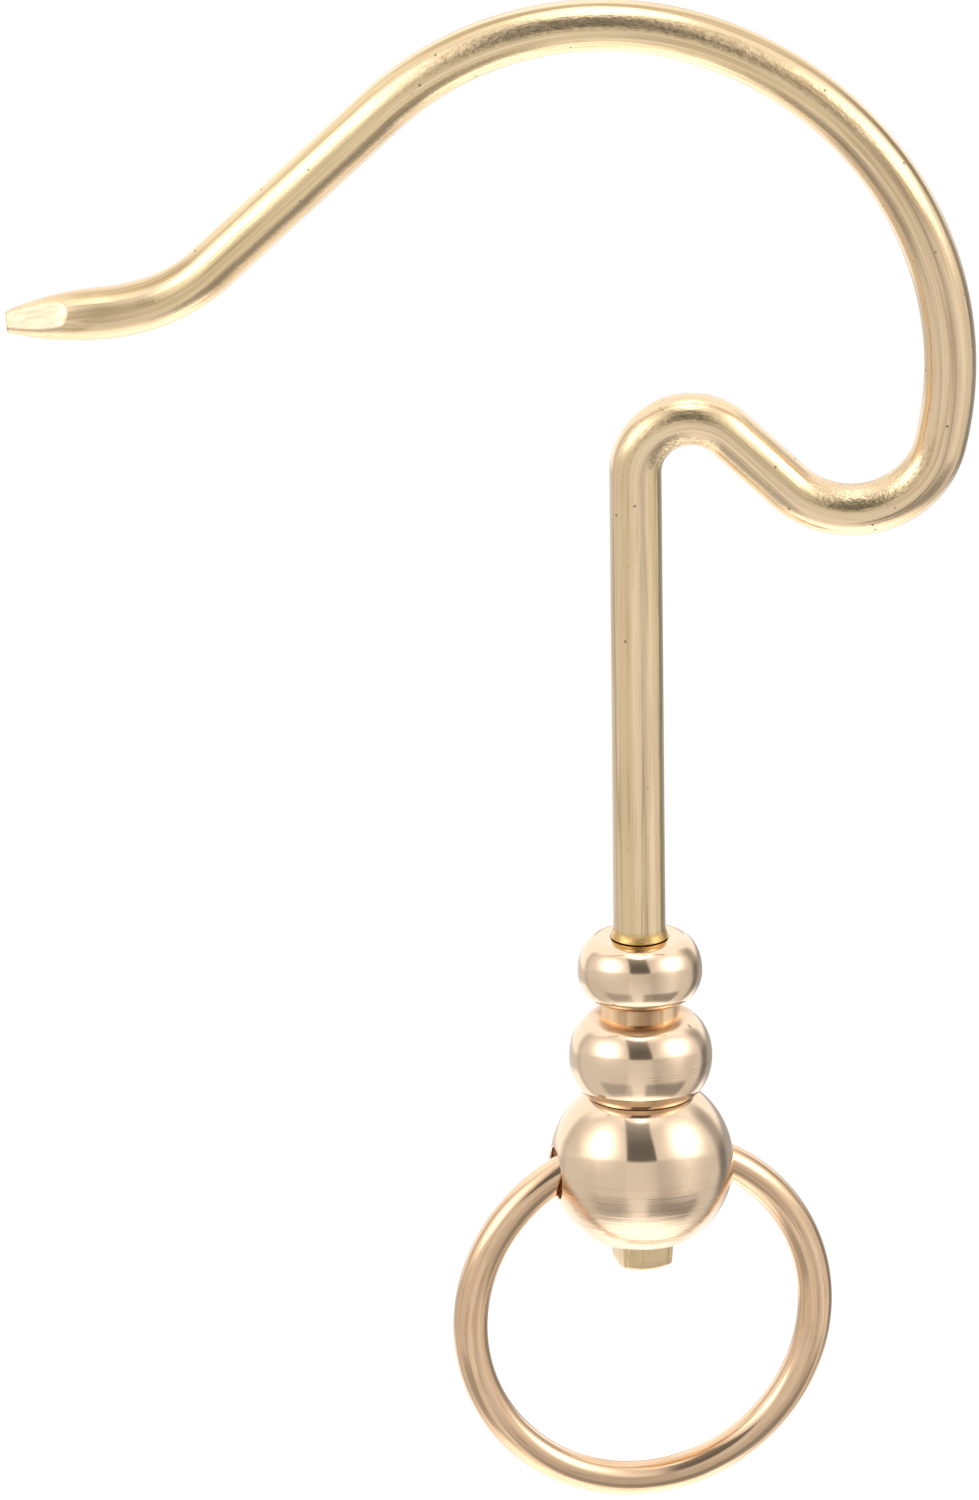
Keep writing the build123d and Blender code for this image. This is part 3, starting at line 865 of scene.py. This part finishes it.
def tentCloth():
    # brightness by direction from the ball
    material = bpy.data.materials.new("tentCloth")
    make = nodeMaker(material)
    add, sums, times = make.add, make.sums, make.times
    ramp, between = make.ramp, make.between
    place = add("ShaderNodeTexCoord").outputs["Object"]
    middle = tuple(float(v) * millimetre for v in ballCentre)
    away = add("ShaderNodeVectorMath", {0: place, 1: middle}, operation="SUBTRACT").outputs[0]
    way = add("ShaderNodeVectorMath", {0: away}, operation="NORMALIZE").outputs[0]
    x, y, z = add("ShaderNodeSeparateXYZ", {"Vector": way}).outputs
    height = times(sums("ARCSINE", z), math.degrees(1))
    bearing = times(sums("ARCTAN2", x, times(y, -1.0)), math.degrees(1))
    offAxis = sums("ABSOLUTE", x)

    def past(value, name):
        return ramp(value, *studio[name])

    def before(value, name):
        return ramp(value, *studio[name], 1.0, 0.0)

    def blend(share, a, b):
        return sums("MULTIPLY_ADD", share, sums("SUBTRACT", b, a), a)

    def dimmed(level, share, left):
        return times(level, blend(share, 1.0, left))

    inFront, behind = before(y, "frontEdge"), past(y, "behindEdge")
    # walls, and above a bar at the height of the view the two lamps' cloth
    lean = math.radians(view["height"])
    aboveBar = sums("MULTIPLY_ADD", z, math.cos(lean), times(y, math.sin(lean)))
    cloth = past(sums("MULTIPLY_ADD", offAxis, studio["barSag"], aboveBar), "barEdge")
    wall = studio["wall"]
    for bearingAt, spread, change in studio["wallChanges"]:
        off = times(sums("SUBTRACT", bearing, bearingAt), 1 / spread)
        glow = sums("EXPONENT", times(off, off, -0.5))
        wall = sums("MULTIPLY_ADD", times(glow, past(height, "wallFoot")), change, wall)
    level = blend(cloth, wall, studio["cloth"])
    for bearingAt, heightAt, strength in studio["lamps"]:
        across = times(sums("SUBTRACT", bearing, bearingAt), math.cos(math.radians(heightAt)))
        above = sums("SUBTRACT", height, heightAt)
        far = sums("ADD", times(across, across), times(above, above))
        glow = sums("EXPONENT", times(far, -0.5 / studio["lampSpread"] ** 2))
        level = sums("MULTIPLY_ADD", times(glow, blend(cloth, studio["underBar"], 1.0)), strength, level)
    # the strip below the opening, a little brighter downwards
    strip = times(before(offAxis, "stripSide"), inFront, before(height, "stripTop"))
    level = dimmed(level, strip, ramp(height, *studio["stripRun"], *studio["stripLevels"]))
    # roof, lower towards the sides; the back, with a darker strip; the openings on top; the table
    roofEdge = ramp(sums("ABSOLUTE", bearing), *studio["roofBearings"], *studio["roofHeights"])
    soft = studio["roofSoft"]
    level = blend(ramp(sums("SUBTRACT", height, roofEdge), -soft, soft), level, studio["roof"])
    level = blend(before(bearing, "backLeft"), level, studio["back"])
    level = blend(past(bearing, "backRight"), level, studio["back"])
    backStrip = times(between(height, *studio["backHeights"]), behind, before(offAxis, "backSide"))
    level = blend(backStrip, level, studio["backStrip"])
    for heights, bearings, patchLevel in studio["backPatches"]:
        level = blend(times(between(height, *heights), between(bearing, *bearings)), level, patchLevel)
    level = blend(past(z, "topEdge"), level, studio["top"])
    window = times(between(height, *studio["windowHeights"]), before(offAxis, "windowSide"), inFront)
    level = blend(window, level, studio["top"])
    level = blend(before(height, "tableEdge"), level, studio["table"])
    # the opening in front, narrower towards its top, and the other dark places
    rightSide = ramp(height, *studio["openingRun"], *studio["openingRight"])
    soft = studio["openingSoft"]
    leftOfIt = ramp(sums("SUBTRACT", x, rightSide), -soft, soft, 1.0, 0.0)
    atHeight = between(height, *studio["openingHeights"])
    inOpening = times(past(x, "openingLeft"), leftOfIt, inFront, atHeight)
    level = dimmed(level, inOpening, ramp(height, *studio["openingFade"], *studio["openingLevels"]))
    for heights, bearings, left in studio["shades"]:
        level = dimmed(level, times(between(height, *heights), between(bearing, *bearings)), left)
    light = add("ShaderNodeEmission", {"Color": (1, 1, 1, 1), "Strength": level})
    add("ShaderNodeOutputMaterial", {"Surface": light.outputs[0]})
    return material


def buildTent():
    # a sphere about the ball, seen only in reflections
    up = np.radians(np.linspace(-90, 90, studio["tentRows"] + 1)[1:-1])[:, None]
    phi = np.arange(studio["tentColumns"]) / studio["tentColumns"] * fullTurn
    grid = np.stack([np.cos(up) * np.cos(phi), np.cos(up) * np.sin(phi), np.sin(up) + 0 * phi], axis=-1)
    points, faces = cappedTube(grid, [0, 0, -1], [0, 0, 1])
    tent = meshOf("lightTent", points * studio["tentRadius"] + ballCentre, faces, tentCloth())
    tent.visible_camera = False
    tent.visible_diffuse = False
    tent.visible_shadow = False
    tent.visible_transmission = False


def buildWorld():
    # plain white round everything, for the camera and the floor
    world = bpy.data.worlds.new("white")
    scene.world = world
    make = nodeMaker(world)
    background = make.add("ShaderNodeBackground", {"Color": (1, 1, 1, 1), "Strength": 1.0})
    make.add("ShaderNodeOutputWorld", {"Surface": background.outputs[0]})


def paleFloor():
    # paper that fades to the world's white towards the rim, as the camera sees it
    material = bpy.data.materials.new("paleFloor")
    make = nodeMaker(material)
    add = make.add
    place = add("ShaderNodeTexCoord").outputs["Object"]
    level = add("ShaderNodeVectorMath", {0: place, 1: (1.0, 1.0, 0.0)}, operation="MULTIPLY").outputs[0]
    away = add("ShaderNodeVectorMath", {0: level}, operation="LENGTH").outputs["Value"]
    paper = add("ShaderNodeBsdfDiffuse", {"Color": (0.86, 0.86, 0.85, 1)})
    white = add("ShaderNodeEmission", {"Color": (1, 1, 1, 1), "Strength": 1.0})
    fade = make.ramp(away, studio["floorRadius"] * 0.3, studio["floorRadius"] * 0.95, 0.55, 1.0)
    seen = make.times(add("ShaderNodeLightPath").outputs["Is Camera Ray"], fade)
    mixed = add("ShaderNodeMixShader", {0: seen, 1: paper.outputs[0], 2: white.outputs[0]})
    add("ShaderNodeOutputMaterial", {"Surface": mixed.outputs[0]})
    return material


def buildFloor():
    # a flat disc below the ring, without a visible edge
    count, radius = studio["floorColumns"], studio["floorRadius"]
    t = np.arange(count) / count * fullTurn
    height = np.full(count, cadLow[2] - studio["floorDrop"])
    rim = np.stack([radius * np.cos(t), radius * np.sin(t), height], axis=1)
    mesh = bpy.data.meshes.new("floor")
    mesh.from_pydata(rim.tolist(), [], [list(range(count))])
    mesh.materials.append(paleFloor())
    floor = bpy.data.objects.new("floor", mesh)
    scene.collection.objects.link(floor)
    floor.visible_glossy = False  # the metal mirrors the tent's own table instead


def buildLamp():
    # one soft lamp overhead for the floor's shadow
    data = bpy.data.lights.new("softTop", "AREA")
    data.size = studio["lampSize"]
    data.energy = studio["lampPower"]
    lamp = bpy.data.objects.new("softTop", data)
    lamp.location = studio["lampPlace"]
    lamp.rotation_euler = np.radians(studio["lampTurn"])
    lamp.visible_glossy = False
    scene.collection.objects.link(lamp)


def buildCamera():
    data = bpy.data.cameras.new("camera")
    data.sensor_width = 36.0  # millimetres, as the lens
    data.lens = data.sensor_width * view["distance"] / view["tall"]
    data.clip_end = 20.0  # metres, past the tent
    camera = bpy.data.objects.new("camera", data)
    up = math.radians(view["height"])
    target = np.array(view["target"])
    camera.location = target + view["distance"] * np.array([0.0, -math.cos(up), math.sin(up)])
    camera.rotation_mode = "ZXY"  # the roll is about the line of sight
    camera.rotation_euler = (math.pi / 2 - up, 0.0, math.radians(view["roll"]))
    scene.collection.objects.link(camera)
    scene.camera = camera


buildTent()
buildWorld()
buildFloor()
buildLamp()
print("studio made")

buildCamera()
scene.view_settings.view_transform = "Standard"
print("camera set")
